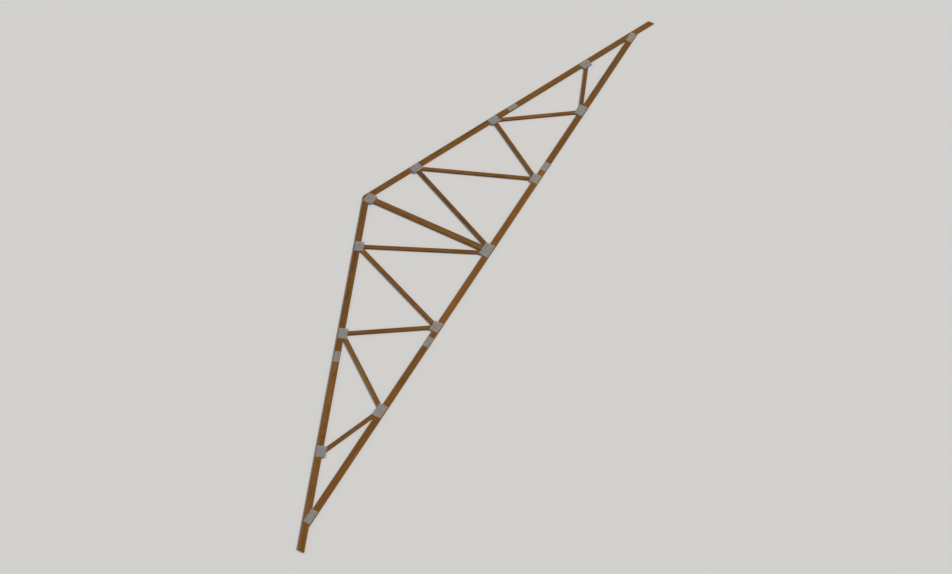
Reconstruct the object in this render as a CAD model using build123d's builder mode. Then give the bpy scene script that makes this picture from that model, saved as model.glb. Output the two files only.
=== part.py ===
"""Wooden roof truss, lying flat on its face.

The truss spans a shed from wall to wall. Two sloping top chords and a level bottom chord make the
triangle. A king post and five webs on each side stiffen it, and toothed steel plates pressed into
both faces hold every joint and splice.

X runs along the span and Y from the bottom chord up to the peak. Z is the thickness of the truss,
from the floor it lies on. The origin is at mid-span, half-way up the truss, on the floor.
"""

import os
from math import atan, cos, degrees

from build123d import *

# The roof's line, mm
span = 15240  # over the outer faces of the two walls
pitch = 5 / 12  # rise over run
tail_run = 508  # the eave's overhang beyond the wall, measured level
heel_butt = 6  # the upright cut left at each end of the bottom chord

# Planed lumber, mm
lumber_thickness = 38
chord_depth = 140
king_post_depth = 140
web_depth = 89
eased_edge = 3  # radius of each long edge

# Where the webs meet the chords, mm level from mid-span
inner_top_joint = 1280
inner_bottom_joint = 2320
middle_top_joint = 3430
outer_bottom_joint = 4645
outer_top_joint = 6130
joint_set_in = 35  # the webs' centrelines cross this far inside the chord's edge
king_post_clearance = 15  # from the king post's face to the first web's centreline at its foot

# Chord splices, mm level outward from the joint beside them
bottom_splice_offset = 423
top_splice_offset = 560

# Toothed plates, mm: length along the chord and width across it
plate_thickness = 1
plate_inset = 12  # bare wood between a plate and the chord's outer edge
heel_plate_length = 305
heel_plate_width = 152
peak_plate_length = 254
peak_plate_width = 229
king_plate_length = 356
king_plate_width = 229
web_plate_length = 254
web_plate_width = 203
flat_web_plate_length = 305
flat_web_plate_shift = 45  # towards the long slanting cuts at both ends of the last web
splice_plate_length = 254
splice_plate_width = 127

# Lines that follow from the sizes above. Heights are from the underside of the bottom chord.
half_span = span / 2
slope = atan(pitch)
heel_height = heel_butt + chord_depth / cos(slope)
peak_height = heel_height + half_span * pitch
tail_drop = tail_run * pitch - heel_butt  # how far the tail hangs below the bottom chord
overall_height = peak_height + tail_drop

along = Vector(1, 0)
up = Vector(0, 1)
down_slope = along.rotate(Axis.Z, -degrees(slope))  # along the right-hand top chord
off_roof = up.rotate(Axis.Z, -degrees(slope))  # square out of it
off_left_roof = up.rotate(Axis.Z, degrees(slope))
through = Vector(0, 0, 1)

back_face = Plane(origin=(0, tail_drop - overall_height / 2, 0))
timber_face = back_face.offset(plate_thickness)
front_face = timber_face.offset(lumber_thickness)


def under_roof(x, below):
    """Point plumb under x that lies square below the top chord's upper edge by the given amount."""
    return Vector(x, heel_height + (half_span - x) * pitch - below / cos(slope))


def top_joint(x):
    return under_roof(x, chord_depth - joint_set_in)


def bottom_joint(x):
    return Vector(x, chord_depth - joint_set_in)


def saw(point, keep):
    """Saw cut square through the truss. What lies towards keep stays."""
    return Plane(origin=timber_face.from_local_coords(point), z_dir=keep)


def mitre(joint, own_end, other_end):
    """Saw cut that shares a joint evenly between two webs."""
    return saw(joint, (own_end - joint).normalized() - (other_end - joint).normalized())


def plank(start, end, depth, cuts):
    """Lumber laid from start to end with its long edges eased, then sawn along each cut."""
    run = end - start
    middle = timber_face.from_local_coords((start + end) / 2)
    spare = 4 * depth
    with BuildPart() as piece:
        with BuildSketch(Plane(origin=middle, x_dir=run, z_dir=through)):
            Rectangle(run.length + spare, depth)
        extrude(amount=lumber_thickness)
        fillet(piece.edges().filter_by(Axis(middle, run)), eased_edge)
        for cut in cuts:
            split(bisect_by=cut, keep=Keep.TOP)
    return piece.part


def plate(face, centre, run, length, width):
    """Steel plate on one face of the truss, its length along run."""
    origin = face.from_local_coords(centre)
    with BuildPart() as piece:
        with BuildSketch(Plane(origin=origin, x_dir=run, z_dir=through)):
            Rectangle(length, width)
        extrude(amount=plate_thickness)
    return piece.part


def write_piece(part, name):
    part.label = name
    export_step(part, f"parts/{name}.step")


def write_both_sides(part, name):
    """Writes a right-hand piece and its mirror image on the left."""
    with BuildPart() as left:
        mirror(part, about=Plane.YZ)
    write_piece(part, name + "_right")
    write_piece(left.part, name + "_left")


def write_plates(name, centre, run, length, width, both_sides=True):
    """Writes the pair of plates that holds a joint between them."""
    write = write_both_sides if both_sides else write_piece
    write(plate(back_face, centre, run, length, width), name + "_back")
    write(plate(front_face, centre, run, length, width), name + "_front")


os.makedirs("parts", exist_ok=True)

# Bottom chord: three lengths butted at the splices. Each end is sawn to the roof's slope, so that
# the top chord lies on it, and keeps a small upright butt over the wall's outer face.
bottom_splice = Vector(inner_bottom_joint + bottom_splice_offset, chord_depth / 2)
bottom_splice_left = Vector(-bottom_splice.X, bottom_splice.Y)
heel = Vector(half_span, chord_depth / 2)
roof_underside = saw(under_roof(half_span, chord_depth), -off_roof)

bottom_middle = plank(
    bottom_splice_left,
    bottom_splice,
    chord_depth,
    [saw(bottom_splice_left, along), saw(bottom_splice, -along)],
)
bottom_end = plank(
    bottom_splice,
    heel,
    chord_depth,
    [saw(bottom_splice, along), saw(heel, -along), roof_underside],
)
write_piece(bottom_middle, "bottom_chord_middle")
write_both_sides(bottom_end, "bottom_chord")

# Top chords: two lengths each, butted square at the splice, with a plumb cut where they meet at
# the peak and another at the end of the tail.
peak = under_roof(0, chord_depth / 2)
top_splice = under_roof(middle_top_joint + top_splice_offset, chord_depth / 2)
tail = under_roof(half_span + tail_run, chord_depth / 2)

top_upper = plank(peak, top_splice, chord_depth, [saw(peak, along), saw(top_splice, -down_slope)])
top_lower = plank(top_splice, tail, chord_depth, [saw(top_splice, down_slope), saw(tail, -along)])
write_both_sides(top_upper, "top_chord_upper")
write_both_sides(top_lower, "top_chord_lower")

# King post: stands square on the bottom chord and is pointed to fit under both top chords.
bottom_chord_top = saw(Vector(0, chord_depth), up)
king_foot = Vector(0, chord_depth)
king_top = under_roof(0, chord_depth)
king_cuts = [bottom_chord_top, saw(king_top, -off_roof), saw(king_top, -off_left_roof)]
write_piece(plank(king_foot, king_top, king_post_depth, king_cuts), "king_post")

# Webs: a zigzag from the king post's foot out to the last joint under the roof. Each is sawn to
# the edges of both chords, and mitred to the next web where the two share a joint.
first_foot = Vector(king_post_depth / 2 + king_post_clearance, chord_depth)
zigzag = [
    first_foot,
    top_joint(inner_top_joint),
    bottom_joint(inner_bottom_joint),
    top_joint(middle_top_joint),
    bottom_joint(outer_bottom_joint),
    top_joint(outer_top_joint),
]
for number in range(1, len(zigzag)):
    start, end = zigzag[number - 1], zigzag[number]
    cuts = [bottom_chord_top, roof_underside]
    if number == 1:
        cuts.append(saw(Vector(king_post_depth / 2, 0), along))
    else:
        cuts.append(mitre(start, end, zigzag[number - 2]))
    if number < len(zigzag) - 1:
        cuts.append(mitre(end, start, zigzag[number + 1]))
    write_both_sides(plank(start, end, web_depth, cuts), f"web_{number}")

# Plates over the joints between webs and chords, set in from the chord's outer edge.
reach = chord_depth - joint_set_in - plate_inset - web_plate_width / 2
top_plates = {
    "inner": inner_top_joint,
    "middle": middle_top_joint,
    "outer": outer_top_joint - flat_web_plate_shift,
}
for place, x in top_plates.items():
    centre = top_joint(x) + off_roof * reach
    write_plates(f"top_plate_{place}", centre, down_slope, web_plate_length, web_plate_width)

centre = bottom_joint(inner_bottom_joint) - up * reach
write_plates("bottom_plate_inner", centre, along, web_plate_length, web_plate_width)
centre = bottom_joint(outer_bottom_joint + flat_web_plate_shift) - up * reach
write_plates("bottom_plate_outer", centre, along, flat_web_plate_length, web_plate_width)

centre = Vector(0, plate_inset + king_plate_width / 2)
write_plates("king_plate", centre, along, king_plate_length, king_plate_width, both_sides=False)

# Plates over the ends of the chords. Their upper corners stay inside the top chord's edge.
centre = under_roof(peak_plate_length / 2, plate_inset) - up * (peak_plate_width / 2)
centre = Vector(0, centre.Y)
write_plates("peak_plate", centre, along, peak_plate_length, peak_plate_width, both_sides=False)

heel_plate_top = plate_inset + heel_plate_width
corner_run = (heel_plate_top - under_roof(half_span, plate_inset).Y) / pitch
heel_plate_end = half_span - max(corner_run, plate_inset)
centre = Vector(heel_plate_end - heel_plate_length / 2, plate_inset + heel_plate_width / 2)
write_plates("heel_plate", centre, along, heel_plate_length, heel_plate_width)

# Plates over the splices, centred on the chord.
write_plates("bottom_splice_plate", bottom_splice, along, splice_plate_length, splice_plate_width)
write_plates("top_splice_plate", top_splice, down_slope, splice_plate_length, splice_plate_width)
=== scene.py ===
import itertools
import math
import random
from statistics import median

import bpy
from mathutils import Matrix, Vector


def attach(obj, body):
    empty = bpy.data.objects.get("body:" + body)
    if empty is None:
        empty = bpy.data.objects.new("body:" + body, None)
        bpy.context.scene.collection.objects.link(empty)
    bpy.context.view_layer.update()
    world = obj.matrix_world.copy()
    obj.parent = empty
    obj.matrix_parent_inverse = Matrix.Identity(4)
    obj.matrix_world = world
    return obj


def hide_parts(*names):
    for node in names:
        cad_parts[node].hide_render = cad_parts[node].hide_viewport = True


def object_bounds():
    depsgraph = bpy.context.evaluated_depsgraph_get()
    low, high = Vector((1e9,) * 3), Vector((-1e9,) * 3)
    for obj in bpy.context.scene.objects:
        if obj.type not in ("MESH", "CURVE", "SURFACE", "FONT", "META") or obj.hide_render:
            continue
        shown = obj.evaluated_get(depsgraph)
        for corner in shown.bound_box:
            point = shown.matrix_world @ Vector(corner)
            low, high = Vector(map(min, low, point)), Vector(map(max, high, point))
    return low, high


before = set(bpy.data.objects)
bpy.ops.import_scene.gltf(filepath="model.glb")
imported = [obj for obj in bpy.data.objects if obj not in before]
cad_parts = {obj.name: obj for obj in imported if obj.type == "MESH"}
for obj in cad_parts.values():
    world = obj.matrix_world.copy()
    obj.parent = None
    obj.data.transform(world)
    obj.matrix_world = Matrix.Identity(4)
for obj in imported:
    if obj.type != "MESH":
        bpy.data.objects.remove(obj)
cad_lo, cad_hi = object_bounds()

# Bottom chord
# Three lengths of planed pine, 38 mm thick, butted end to end. It was treated brown right through,
# so all of it is much the same brown, and the growth rings and knots still show.
MM = 0.001
THICKNESS = 38 * MM
BOTTOM_CHORD = ["bottom_chord_left", "bottom_chord_middle", "bottom_chord_right"]


def board_angle(name):
    """Turn of a board about Z, from the middle one of its long edges."""
    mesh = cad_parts[name].data
    ends = [[mesh.vertices[v].co for v in edge.vertices] for edge in mesh.edges]
    runs = [b - a if b.x >= a.x else a - b for a, b in ends]
    longest = max(run.length for run in runs)
    return median(math.atan2(run.y, run.x) for run in runs if run.length > 0.9 * longest)


def flat_size(name, angle):
    """Middle, length and width of a node that lies flat, measured along its own length."""
    turn = Matrix.Rotation(-angle, 4, "Z")
    points = [turn @ vertex.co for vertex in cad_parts[name].data.vertices]
    lo, hi = [Vector([pick(p[i] for p in points) for i in range(3)]) for pick in (min, max)]
    return turn.inverted() @ ((lo + hi) / 2), hi.x - lo.x, hi.y - lo.y


def linear(code):
    """Linear colour of an sRGB hex code."""
    parts = [int(code[i : i + 2], 16) / 255 for i in (1, 3, 5)]
    return [c / 12.92 if c <= 0.04045 else ((c + 0.055) / 1.055) ** 2.4 for c in parts] + [1]


def in_use(sockets, name=None):
    """The first socket that the node's settings leave in use, of the name where one is given."""
    return next(socket for socket in sockets if socket.enabled and name in (None, socket.name))


def add(tree, kind, inputs, **settings):
    """Adds a shader node with its settings and inputs. An input is a value, a socket or a node."""
    made = tree.nodes.new("ShaderNode" + kind)
    for name, value in settings.items():
        setattr(made, name, value)
    for key, value in inputs.items():
        socket = made.inputs[key] if isinstance(key, int) else in_use(made.inputs, key)
        if isinstance(value, bpy.types.Node):
            value = in_use(value.outputs)
        if isinstance(value, bpy.types.NodeSocket):
            tree.links.new(value, socket)
        else:
            socket.default_value = value
    return made


def blank_material(name):
    """A material with an empty node tree, and that tree."""
    material = bpy.data.materials.new(name)
    material.use_nodes = True
    material.node_tree.nodes.clear()
    return material, material.node_tree


def streaks(tree, place, along, across, detail=2):
    """Noise drawn out along the fibres. Its sizes along and across are those of one streak."""
    per_metre = (1 / along, 1 / across, 1 / across)
    drawn = add(tree, "VectorMath", {0: place, 1: per_metre}, operation="MULTIPLY")
    return add(tree, "TexNoise", {"Vector": drawn, "Scale": 1, "Detail": detail})


def branches(tree, place):
    """Branches that run through a board: their wood, bark and rings, and how far they push the
    board's own rings aside."""
    spacing, radius, reach = 270 * MM, 17 * MM, 60 * MM
    lump_width, lump_height = 14 * MM, 7 * MM
    edge_width, bark_width, ring_width = 1.5 * MM, 2.5 * MM, 3 * MM
    bulge = 20 * MM
    soft = {"interpolation_type": "SMOOTHSTEP"}

    # A branch goes right through the board, so its shape changes little with the board's thickness.
    squeezed = add(tree, "VectorMath", {0: place, 1: (1, 1, 0.25)}, operation="MULTIPLY")
    spread = {"Vector": squeezed, "Scale": 1 / spacing, "Randomness": 0.7}
    nearest = add(tree, "TexVoronoi", spread)
    chance = add(tree, "SeparateColor", {"Color": nearest.outputs["Color"]})
    size = add(tree, "MapRange", {"Value": chance, "To Min": 0.3, "To Max": 1.2})
    centre = nearest.outputs["Position"]
    offset = add(tree, "VectorMath", {0: squeezed, 1: centre}, operation="SUBTRACT")
    ragged = add(tree, "TexNoise", {"Vector": squeezed, "Scale": 1 / lump_width, "Detail": 1})
    away = add(tree, "VectorMath", {0: offset}, operation="LENGTH")
    away = add(tree, "Math", {0: ragged, 1: lump_height, 2: away}, operation="MULTIPLY_ADD")
    away = add(tree, "Math", {0: away, 1: size}, operation="DIVIDE")
    inside = radius - edge_width
    skin = {"Value": away, "From Min": radius, "From Max": inside}
    wood = add(tree, "MapRange", skin, **soft)
    rim = {"Value": away, "From Min": inside - bark_width, "From Max": inside}
    bark = add(tree, "Math", {0: add(tree, "MapRange", rim, **soft), 1: wood}, operation="MULTIPLY")
    turns = add(tree, "Math", {0: away, 1: 2 * math.pi / ring_width}, operation="MULTIPLY")
    wave = add(tree, "Math", {0: turns}, operation="SINE")
    rings = add(tree, "MapRange", {"Value": wave, "From Min": -1})

    # The board's rings part well before a branch and close well after it, so their bulge is long.
    longer = add(tree, "VectorMath", {0: offset, 1: (0.45, 1, 1)}, operation="MULTIPLY")
    near = add(tree, "VectorMath", {0: longer}, operation="LENGTH")
    near = add(tree, "Math", {0: near, 1: size}, operation="DIVIDE")
    swell = {"Value": near, "From Min": reach, "From Max": radius, "To Max": bulge}
    push = add(tree, "Math", {0: add(tree, "MapRange", swell, **soft), 1: size}, operation="MULTIPLY")

    # It fades half-way to the next branch, where that one's bulge takes over.
    border = add(tree, "TexVoronoi", spread, feature="DISTANCE_TO_EDGE")
    calm = add(tree, "MapRange", {"Value": border, "From Max": 0.16}, **soft)
    push = add(tree, "Math", {0: push, 1: calm}, operation="MULTIPLY")
    return wood, bark, rings, push


def heart_of_tree(tree, board, place, push, depth, dice):
    """Place square out from the heart of the tree, which lies beside the board and leans across
    it, and the distance out, with the wander of a tree that wasn't quite round."""
    bend_length, bend_width, bend_height = 1250 * MM, 167 * MM, 26 * MM
    along_face = dice.uniform(-0.4, 0.4) * depth
    off_face = dice.choice((-1, 1)) * dice.uniform(45, 80) * MM
    pith = Vector((0, along_face, off_face))
    lean = (0, dice.uniform(-0.014, 0.014), dice.uniform(-0.018, 0.018))
    log = add(tree, "Mapping", {"Vector": board, "Location": pith, "Rotation": lean})
    spoke = add(tree, "VectorMath", {0: log, 1: (0, 1, 1)}, operation="MULTIPLY")
    out = add(tree, "VectorMath", {0: spoke}, operation="LENGTH")
    wander = streaks(tree, place, bend_length, bend_width, detail=3)
    out = add(tree, "Math", {0: wander, 1: bend_height, 2: out}, operation="MULTIPLY_ADD")
    return spoke, add(tree, "Math", {0: out, 1: push}, operation="ADD")


def late_wood(tree, out, dice):
    """The dark part of each year's ring: it deepens slowly outwards, then stops short."""
    ring_width = dice.uniform(4.5, 6.5) * MM
    years = add(tree, "Math", {0: out, 1: ring_width}, operation="DIVIDE")
    season = add(tree, "Math", {0: years}, operation="FRACT")
    summer = {"Value": season, "From Min": 0.2, "From Max": 0.86}
    winter = {"Value": season, "From Min": 1, "From Max": 0.9}
    dark = add(tree, "MapRange", summer, interpolation_type="SMOOTHSTEP")
    stop = add(tree, "MapRange", winter, interpolation_type="SMOOTHSTEP")

    # Some years leave a darker ring than others.
    year = add(tree, "Math", {0: years}, operation="FLOOR")
    vigour = add(tree, "TexWhiteNoise", {"W": year}, noise_dimensions="1D")
    vigour = add(tree, "MapRange", {"Value": vigour, "To Min": 0.35})
    dark = add(tree, "Math", {0: dark, 1: stop}, operation="MULTIPLY")
    return add(tree, "Math", {0: dark, 1: vigour}, operation="MULTIPLY")


def end_cracks(tree, spoke, out):
    """Short cracks in a sawn end, which dries first. They point at the heart of the tree."""
    bearings_apart, length = math.radians(2), 60 * MM
    spokes = add(tree, "SeparateXYZ", {"Vector": spoke})
    bearing = add(tree, "Math", {0: spokes.outputs["Z"], 1: spokes.outputs["Y"]}, operation="ARCTAN2")
    polar = add(tree, "CombineXYZ", {"X": bearing, "Y": out})
    drawn = add(tree, "VectorMath", {0: polar, 1: (1 / bearings_apart, 1 / length, 1)}, operation="MULTIPLY")
    rays = add(tree, "TexNoise", {"Vector": drawn, "Scale": 1, "Detail": 0})
    return add(tree, "MapRange", {"Value": rays, "From Min": 0.7, "From Max": 0.73})


def near_side(tree, board, axis, half):
    """Rises to 1 over the last few millimetres before the two sides that face an axis."""
    band = 5 * MM
    off = add(tree, "VectorMath", {0: board}, operation="ABSOLUTE")
    off = add(tree, "SeparateXYZ", {"Vector": off}).outputs[axis]
    return add(tree, "MapRange", {"Value": off, "From Min": half - band, "From Max": half})


def drying_checks(tree, board, place, depth):
    """Fine cracks along the fibres of the wide faces, in rows. Each opens where the wood is most
    stressed, and closes again."""
    rows_apart, half_opening, soft_edge = 45 * MM, 0.81 * MM, 0.225 * MM
    across = add(tree, "SeparateXYZ", {"Vector": place}).outputs["Y"]
    bend = streaks(tree, place, 700 * MM, 80 * MM)
    row = add(tree, "Math", {0: across, 1: 1 / rows_apart, 2: bend}, operation="MULTIPLY_ADD")
    off = add(tree, "Math", {0: row, 1: 0.5}, operation="PINGPONG")
    stress = streaks(tree, place, 450 * MM, 50 * MM)
    pull = {"Value": stress, "From Min": 0.56, "From Max": 0.7, "To Max": half_opening / rows_apart}
    gap = add(tree, "Math", {0: add(tree, "MapRange", pull), 1: off}, operation="SUBTRACT")
    line = add(tree, "MapRange", {"Value": gap, "From Max": soft_edge / rows_apart})
    side = near_side(tree, board, "Y", depth / 2)
    return add(tree, "Math", {0: line, 1: side}, operation="SUBTRACT", use_clamp=True)


def planed_face(tree, board, place, depth, late, knot, tint):
    """Colour and height of a planed face: the rings under fibres, broader bands and clouds of stain,
    with lines of resin, knots, edges paler from rubbing and from a painted highlight, and cracks over them."""
    # Real fibres and lines of resin are too fine to show, so both are drawn coarser.
    fibre_length, fibre_width = 160 * MM, 1.4 * MM
    resin_length, resin_width = 30 * MM, 1 * MM
    early, summer, rubbed_and_highlit = linear("#825620"), linear("#513310"), linear("#9C6E40")
    knot_early, knot_late, bark_brown = linear("#5A3418"), linear("#3A1F0D"), linear("#261407")
    colours = {"data_type": "RGBA"}
    fibres = streaks(tree, place, fibre_length, fibre_width)
    face = add(tree, "Mix", {"Factor": late, "A": early, "B": summer}, **colours)
    face = add(tree, "VectorMath", {0: face, 1: tint}, operation="MULTIPLY")

    # Fibres, bands and clouds, each with how dark and how light it makes the face.
    shades = [
        (fibres, 0.87, 1.13),
        (streaks(tree, place, 1300 * MM, 26 * MM), 0.84, 1.16),
        (streaks(tree, place, 400 * MM, 90 * MM), 0.92, 1.08),
    ]
    for noise, low, high in shades:
        shade = {"Value": noise, "From Min": 0.3, "From Max": 0.7, "To Min": low, "To Max": high}
        face = add(tree, "VectorMath", {0: face, "Scale": add(tree, "MapRange", shade)}, operation="SCALE")

    resin = streaks(tree, place, resin_length, resin_width, detail=0)
    resin = add(tree, "MapRange", {"Value": resin, "From Min": 0.66, "From Max": 0.74, "To Max": 0.35})
    wood, bark, rings = knot
    knot_face = add(tree, "Mix", {"Factor": rings, "A": knot_early, "B": knot_late}, **colours)
    sides = [near_side(tree, board, axis, half) for axis, half in (("Y", depth / 2), ("Z", THICKNESS / 2))]
    # Each arris is painted paler: partly wear from rubbing, partly a painted highlight where the eased edge
    # catches the light.
    arris = add(tree, "Math", {0: sides[0], 1: sides[1]}, operation="MULTIPLY")
    worn_and_highlit = add(tree, "Math", {0: arris, 1: fibres}, operation="MULTIPLY")
    checks = drying_checks(tree, board, place, depth)
    overlays = [(resin, summer), (wood, knot_face), (bark, bark_brown), (worn_and_highlit, rubbed_and_highlit), (checks, bark_brown)]
    for amount, colour in overlays:
        face = add(tree, "Mix", {"Factor": amount, "A": face, "B": colour}, **colours)
    height = add(tree, "Math", {0: late, 1: 0.5, 2: fibres}, operation="MULTIPLY_ADD")
    return face, add(tree, "Math", {0: height, 1: checks}, operation="SUBTRACT")


def sawn_end(tree, spoke, out, late):
    """Colour of a sawn end: it soaks up more of the stain, and shows the rings as arcs."""
    early, summer, crack = linear("#694626"), linear("#3A2411"), linear("#261407")
    sawn = add(tree, "Mix", {"Factor": late, "A": early, "B": summer}, data_type="RGBA")
    cracked = {"Factor": end_cracks(tree, spoke, out), "A": sawn, "B": crack}
    return add(tree, "Mix", cracked, data_type="RGBA")


def treated_pine(name, dice):
    """Planed pine, treated brown. To the eye it is matt and streaked along the board, with rings
    that arch where the saw cut across them, round dark knots, and darker sawn ends."""
    angle = board_angle(name)
    centre, _, depth = flat_size(name, angle)
    length_way = (math.cos(angle), math.sin(angle), 0)

    # So many metres that no two boards have the same stretch of the pattern.
    shift = Vector([dice.uniform(-40, 40) for _ in range(3)])
    tone, warmth = dice.uniform(0.86, 1.14), dice.uniform(-0.05, 0.05)
    tint = Vector((1 + warmth, 1, 1 - warmth)) * tone

    material, tree = blank_material(f"treated_pine_{name}")
    here = add(tree, "TexCoord", {}).outputs["Object"]
    lying = {"Vector": here, "Location": centre, "Rotation": (0, 0, angle)}
    board = add(tree, "Mapping", lying, vector_type="TEXTURE")
    place = add(tree, "VectorMath", {0: board, 1: shift}, operation="ADD")
    *knot, push = branches(tree, place)
    spoke, out = heart_of_tree(tree, board, place, push, depth, dice)
    late = late_wood(tree, out, dice)
    face, height = planed_face(tree, board, place, depth, late, knot, tint)

    # How much a face looks along the board: 1 at a square cut, 0.35 at the longest slanting one.
    end_on = 0.25
    normal = add(tree, "NewGeometry", {}).outputs["Normal"]
    facing = add(tree, "VectorMath", {0: normal, 1: length_way}, operation="DOT_PRODUCT")
    facing = add(tree, "Math", {0: facing}, operation="ABSOLUTE")
    is_end = add(tree, "Math", {0: facing, 1: end_on}, operation="GREATER_THAN")
    both = {"Factor": is_end, "A": face, "B": sawn_end(tree, spoke, out, late)}
    matt = {"Value": height, "From Max": 1.5, "To Min": 0.6, "To Max": 0.8}
    surface = {
        "Base Color": add(tree, "Mix", both, data_type="RGBA"),
        "Roughness": add(tree, "MapRange", matt),
        "Normal": add(tree, "Bump", {"Height": height, "Strength": 0.5, "Distance": 0.35 * MM}),
        "Specular IOR Level": 0.2,
    }
    add(tree, "OutputMaterial", {"Surface": add(tree, "BsdfPrincipled", surface)})
    return material


def dress_timber(names, seed):
    """Gives each board its own length of the same stock."""
    dice = random.Random(seed)
    for name in names:
        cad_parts[name].material_slots[0].material = treated_pine(name, dice)


dress_timber(BOTTOM_CHORD, 11)


# Top chords
# Two lengths a side of the same stock as the bottom chord, sawn plumb at the peak and at the
# tails. They carry the roof, so they are the same deep section.
dress_timber([f"top_chord_{part}_{side}" for side in ("left", "right") for part in ("upper", "lower")], 23)


# King post
# One upright of the same stock in the middle. Its top is sawn to a point that fits up under both
# top chords, and its foot stands square on the bottom chord.
dress_timber(["king_post"], 31)


# Webs
# Ten braces of narrower stock in a zigzag, sawn on the slant at both ends so that each bears on
# the chord and on its neighbour.
dress_timber([f"web_{number}_{side}" for number in range(1, 6) for side in ("left", "right")], 47)


# King plates
# One sheet of galvanised steel on each face, over the king post's foot and the first two webs. Its
# slots were punched so that the steel of each folds down as two teeth, and a press drove them in.
def make_active(piece):
    """Leaves one piece alone selected and active."""
    bpy.ops.object.select_all(action="DESELECT")
    piece.select_set(True)
    bpy.context.view_layer.objects.active = piece


def repeat(piece, count, step):
    """Repeats a piece, each copy a step from the last."""
    make_active(piece)
    array = piece.modifiers.new("repeat", "ARRAY")
    array.count = count
    array.use_relative_offset = False
    array.use_constant_offset = True
    array.constant_offset_displace = step
    bpy.ops.object.modifier_apply(modifier=array.name)


def blank_sheet(length, width, x, y):
    """A rectangle of sheet steel, one face, round a place."""
    bpy.ops.object.select_all(action="DESELECT")
    bpy.ops.mesh.primitive_plane_add(size=1, calc_uvs=False, location=(x, y, 0))
    sheet = bpy.context.object
    sheet.scale = (length, width, 1)
    bpy.ops.object.transform_apply(location=True, rotation=True, scale=True)
    return sheet


SLOT_PITCH, ROW_PITCH = 25.4 * MM, 6.35 * MM
SHEET = 1 * MM


def punched_cell(x, y):
    """One slot in its share of the sheet, with its two teeth folded down."""
    slot_length, slot_width = 17 * MM, 3.1 * MM
    tooth_length, tip_to_root = 8.5 * MM, 0.3
    cell = blank_sheet(SLOT_PITCH, ROW_PITCH, x, y)
    margin = (ROW_PITCH - slot_width) / 2
    shorten = slot_length / (SLOT_PITCH - 2 * margin)
    bpy.ops.object.mode_set(mode="EDIT")
    bpy.ops.mesh.select_all(action="SELECT")
    bpy.ops.mesh.inset(thickness=margin, depth=0)
    bpy.ops.transform.resize(value=(shorten, 1, 1), center_override=(x, y, 0))
    bpy.ops.mesh.delete(type="FACE")

    # The rows are staggered by half a slot, so the corners of one meet the middles of the next.
    bpy.ops.mesh.select_all(action="SELECT")
    bpy.ops.mesh.bisect(plane_co=(x, y, 0), plane_no=(1, 0, 0))
    bpy.ops.mesh.select_all(action="DESELECT")
    bpy.ops.object.mode_set(mode="OBJECT")
    for edge in cell.data.edges:
        ends = [cell.data.vertices[v].co.x - x for v in edge.vertices]
        edge.select = all(abs(abs(end) - slot_length / 2) < 0.1 * MM for end in ends)
    bpy.ops.object.mode_set(mode="EDIT")
    bpy.ops.mesh.select_mode(type="EDGE")
    bpy.ops.mesh.extrude_region_move(TRANSFORM_OT_translate={"value": (0, 0, -tooth_length)})
    bpy.ops.transform.resize(value=(1, tip_to_root, 1), center_override=(x, y, 0))
    bpy.ops.mesh.select_mode(type="VERT")
    bpy.ops.object.mode_set(mode="OBJECT")
    return cell


def map_flat(plate, slots, rows):
    """Maps the plate as the flat sheet it was cut from, each tooth back in its half of the slot. The
    walls lean a little, so that they have some width on the map. The steel's nodes don't read it."""
    wall_lean = 0.4
    flat = plate.data.uv_layers.new(name="OFBake")
    for loop in plate.data.loops:
        x, y, z = plate.data.vertices[loop.vertex_index].co
        row = int(y / ROW_PITCH)
        off_x = math.remainder(x - SLOT_PITCH * (1 + row % 2) / 2, SLOT_PITCH)
        off_y = y - ROW_PITCH * (row + 0.5)
        across = (x - math.copysign(z, off_x)) / (slots * SLOT_PITCH)
        up = (y - math.copysign(wall_lean * min(-z, SHEET), off_y)) / (rows * ROW_PITCH)
        flat.uv[loop.index].vector = (min(max(across, 0), 1), min(max(up, 0), 1))


def punched_sheet(slots, rows):
    """A toothed plate: its outer face at z = 0, its teeth down, a corner at the origin."""
    plate = punched_cell(SLOT_PITCH / 2, ROW_PITCH / 2)
    repeat(plate, slots, (SLOT_PITCH, 0, 0))

    # The second row starts half a pitch along, which leaves half a pitch of plain sheet at each end.
    second_row = punched_cell(SLOT_PITCH, ROW_PITCH * 1.5)
    repeat(second_row, slots - 1, (SLOT_PITCH, 0, 0))
    middles = (SLOT_PITCH / 4, (slots - 0.25) * SLOT_PITCH)
    row_ends = [blank_sheet(SLOT_PITCH / 2, ROW_PITCH, x, ROW_PITCH * 1.5) for x in middles]
    make_active(plate)
    for part in [second_row, *row_ends]:
        part.select_set(True)
    bpy.ops.object.join()
    repeat(plate, rows // 2, (0, 2 * ROW_PITCH, 0))
    bpy.ops.object.mode_set(mode="EDIT")
    bpy.ops.mesh.select_all(action="SELECT")
    bpy.ops.mesh.remove_doubles(threshold=0.05 * MM)
    bpy.ops.mesh.normals_make_consistent(inside=False)
    bpy.ops.object.mode_set(mode="OBJECT")
    if sum(face.normal.z for face in plate.data.polygons) < 0:
        bpy.ops.object.mode_set(mode="EDIT")
        bpy.ops.mesh.flip_normals()
        bpy.ops.object.mode_set(mode="OBJECT")
    gauge = plate.modifiers.new("gauge", "SOLIDIFY")
    gauge.thickness = SHEET
    gauge.offset = -1
    gauge.solidify_mode = "NON_MANIFOLD"
    gauge.nonmanifold_thickness_mode = "CONSTRAINTS"
    bpy.ops.object.modifier_apply(modifier=gauge.name)

    # Solidify leaves the outer face a hair above z = 0.
    outer_face = max(corner.co.z for corner in plate.data.vertices)
    plate.data.transform(Matrix.Translation((0, 0, -outer_face)))
    map_flat(plate, slots, rows)
    return plate


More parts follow.
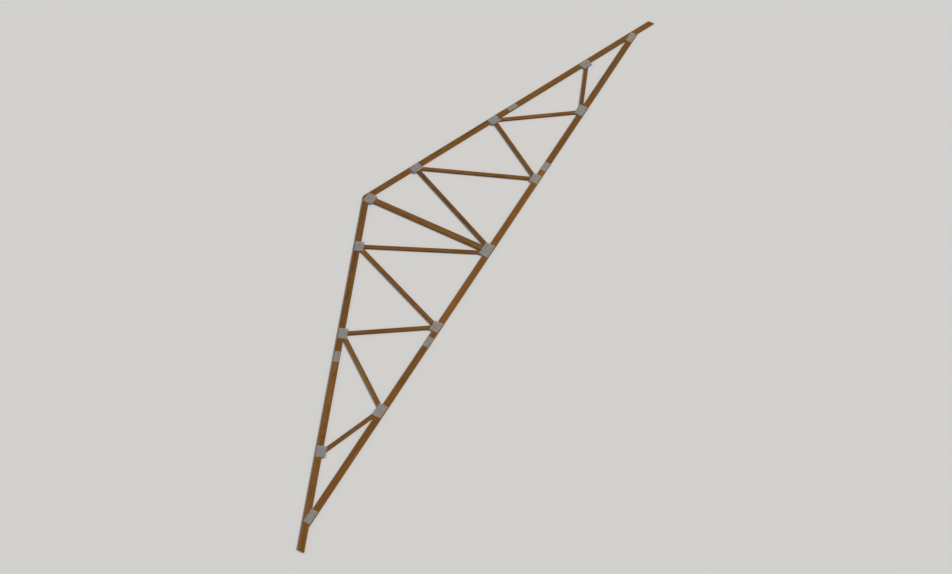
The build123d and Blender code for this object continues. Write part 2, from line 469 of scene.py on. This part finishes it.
def galvanised_steel():
    """Steel dipped in zinc and gone dull. To the eye it is a grey metal, mottled with crystals about
    10 mm across that each catch the light their own way."""
    pale, dark = linear("#B7BBBB"), linear("#888D8E")
    material, tree = blank_material("galvanised_steel")
    here = add(tree, "TexCoord", {}).outputs["Object"]
    crystals = add(tree, "TexVoronoi", {"Vector": here, "Scale": 1 / (10 * MM)})
    crystal = add(tree, "SeparateColor", {"Color": crystals.outputs["Color"]})
    bloom = add(tree, "TexNoise", {"Vector": here, "Scale": 1 / (80 * MM), "Detail": 3})
    dull = add(tree, "Math", {0: crystal, 1: 0.45, 2: bloom}, operation="MULTIPLY_ADD")
    dull = add(tree, "MapRange", {"Value": dull, "From Min": 0.35, "From Max": 1.1})
    surface = {
        "Base Color": add(tree, "Mix", {"Factor": dull, "A": pale, "B": dark}, data_type="RGBA"),
        "Roughness": add(tree, "MapRange", {"Value": dull, "To Min": 0.34, "To Max": 0.55}),
        "Normal": add(tree, "Bump", {"Height": crystal, "Strength": 0.15, "Distance": 0.1 * MM}),
        "Metallic": 1,
    }
    add(tree, "OutputMaterial", {"Surface": add(tree, "BsdfPrincipled", surface)})
    return material


zinc = galvanised_steel()


def press_plates(places, sides=("_left", "_right"), turns=None):
    """Puts plates of one size on both faces of the truss. They lie level, or turned as given for
    their side."""
    pattern = None
    for place, side, face in itertools.product(places, sides, ("back", "front")):
        node = f"{place}_{face}{side}"
        turn = turns[side] if turns else 0
        centre, length, width = flat_size(node, turn)
        slots, rows = round(length / SLOT_PITCH), round(width / ROW_PITCH)

        # Punched once, for the first of the plates, and copied for each.
        pattern = pattern or punched_sheet(slots, rows)
        plate = pattern.copy()
        plate.data = pattern.data.copy()
        plate.name = plate.data.name = f"toothed_{node}"
        bpy.context.scene.collection.objects.link(plate)
        to_size = Matrix.Diagonal((length / (slots * SLOT_PITCH), width / (rows * ROW_PITCH), 1, 1))
        to_middle = Matrix.Translation((-length / 2, -width / 2, SHEET / 2))
        to_face = Matrix.Rotation(math.pi if face == "back" else 0, 4, "X")
        to_place = Matrix.Translation(centre) @ Matrix.Rotation(turn, 4, "Z")
        plate.data.transform(to_place @ to_face @ to_middle @ to_size)
        plate.data.materials.append(zinc)
        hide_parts(node)
        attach(plate, "root")
    bpy.data.objects.remove(pattern)


press_plates(["king_plate"], [""])


# Peak plates
# The same punched steel as the king plates. One is pressed into each face, across the plumb joint of
# the top chords and the point of the king post.
press_plates(["peak_plate"], [""])


# Heel plates
# The same punched steel, pressed into both faces at each wall. The top chord is scarfed onto the
# bottom chord there, a long slanting joint, so these plates are long and narrow.
press_plates(["heel_plate"])


# Top plates
# The same punched steel, pressed into both faces at three places a side, where webs meet the top
# chord. These plates lie with the slope of the roof.
ROOF = {side: board_angle(f"top_chord_upper{side}") for side in ("_left", "_right")}
press_plates(["top_plate_inner", "top_plate_middle", "top_plate_outer"], turns=ROOF)


# Bottom plates
# The same punched steel, pressed into both faces at two places a side, where webs meet the bottom
# chord. The outer plates are longer, because the last web comes in so flat.
press_plates(["bottom_plate_inner"])
press_plates(["bottom_plate_outer"])


# Splice plates
# Smaller plates of the same punched steel. Where two lengths of a chord butt, one pressed into each
# face ties them end to end.
press_plates(["top_splice_plate"], turns=ROOF)
press_plates(["bottom_splice_plate"])


# Floor
# A plain pale studio floor, painted matt. It is far wider than the truss, and lies a hair below the
# plates on the truss's back.
def floor_paint():
    """Matt paint, pale and a little warm, so that nothing on it catches the eye."""
    material, tree = blank_material("matt_floor_paint")
    surface = {"Base Color": linear("#DFDEDC"), "Roughness": 0.9}
    add(tree, "OutputMaterial", {"Surface": add(tree, "BsdfPrincipled", surface)})
    return material


floor_width, gap = 400, 0.2 * MM
bpy.ops.object.select_all(action="DESELECT")
bpy.ops.mesh.primitive_plane_add(size=floor_width, location=(0, 0, cad_lo.z - gap))
bpy.ops.object.transform_apply(location=True, rotation=False, scale=False)
floor = bpy.context.object
floor.name = "floor"
floor.data.materials.append(floor_paint())


# Light
# A broad soft lamp, high and from the photograph's sunny side, and an even pale surround. Where the
# camera or the steel sees the surround it has the lit floor's own shade, so no line shows between.
light_given, shade_shown = 0.45, 0.82
world = bpy.data.worlds.new("studio")
bpy.context.scene.world = world
world.use_nodes = True
world.node_tree.nodes.clear()
ray = add(world.node_tree, "LightPath", {})
seen_by = {0: ray.outputs["Is Camera Ray"], 1: ray.outputs["Is Glossy Ray"]}
seen = add(world.node_tree, "Math", seen_by, operation="MAXIMUM")
strength = {"Value": seen, "To Min": light_given, "To Max": shade_shown}
strength = add(world.node_tree, "MapRange", strength)
surround = {"Color": linear("#E6E5E2"), "Strength": strength}
add(world.node_tree, "OutputWorld", {"Surface": add(world.node_tree, "Background", surround)})

lamp_data = bpy.data.lights.new("key", "SUN")
lamp_data.energy = 2.2
lamp_data.angle = math.radians(10)
lamp = bpy.data.objects.new("key", lamp_data)
lamp.rotation_euler = Vector((-0.75, 0.6, -1)).to_track_quat("-Z", "Y").to_euler()
bpy.context.scene.collection.objects.link(lamp)


# Camera
# The photograph's own view, from the same side, height and distance, with the truss tipped back
# to lie flat. The span runs up to the right and the peak points left. A longer lens fills the frame.
azimuth, elevation = math.radians(-61.4), math.radians(55.3)
distance, aim = 33, Vector((-0.994, -1.698, 0.02))
level = Vector((math.sin(azimuth), -math.cos(azimuth), 0))
back = level * math.cos(elevation) + Vector((0, 0, math.sin(elevation)))
camera_data = bpy.data.cameras.new("camera")
camera_data.lens = 57
camera_data.clip_end = 500
camera = bpy.data.objects.new("camera", camera_data)
camera.location = aim + back * distance
camera.rotation_euler = (-back).to_track_quat("-Z", "Y").to_euler()
bpy.context.scene.collection.objects.link(camera)
bpy.context.scene.camera = camera
bpy.context.scene.view_settings.view_transform = "Standard"
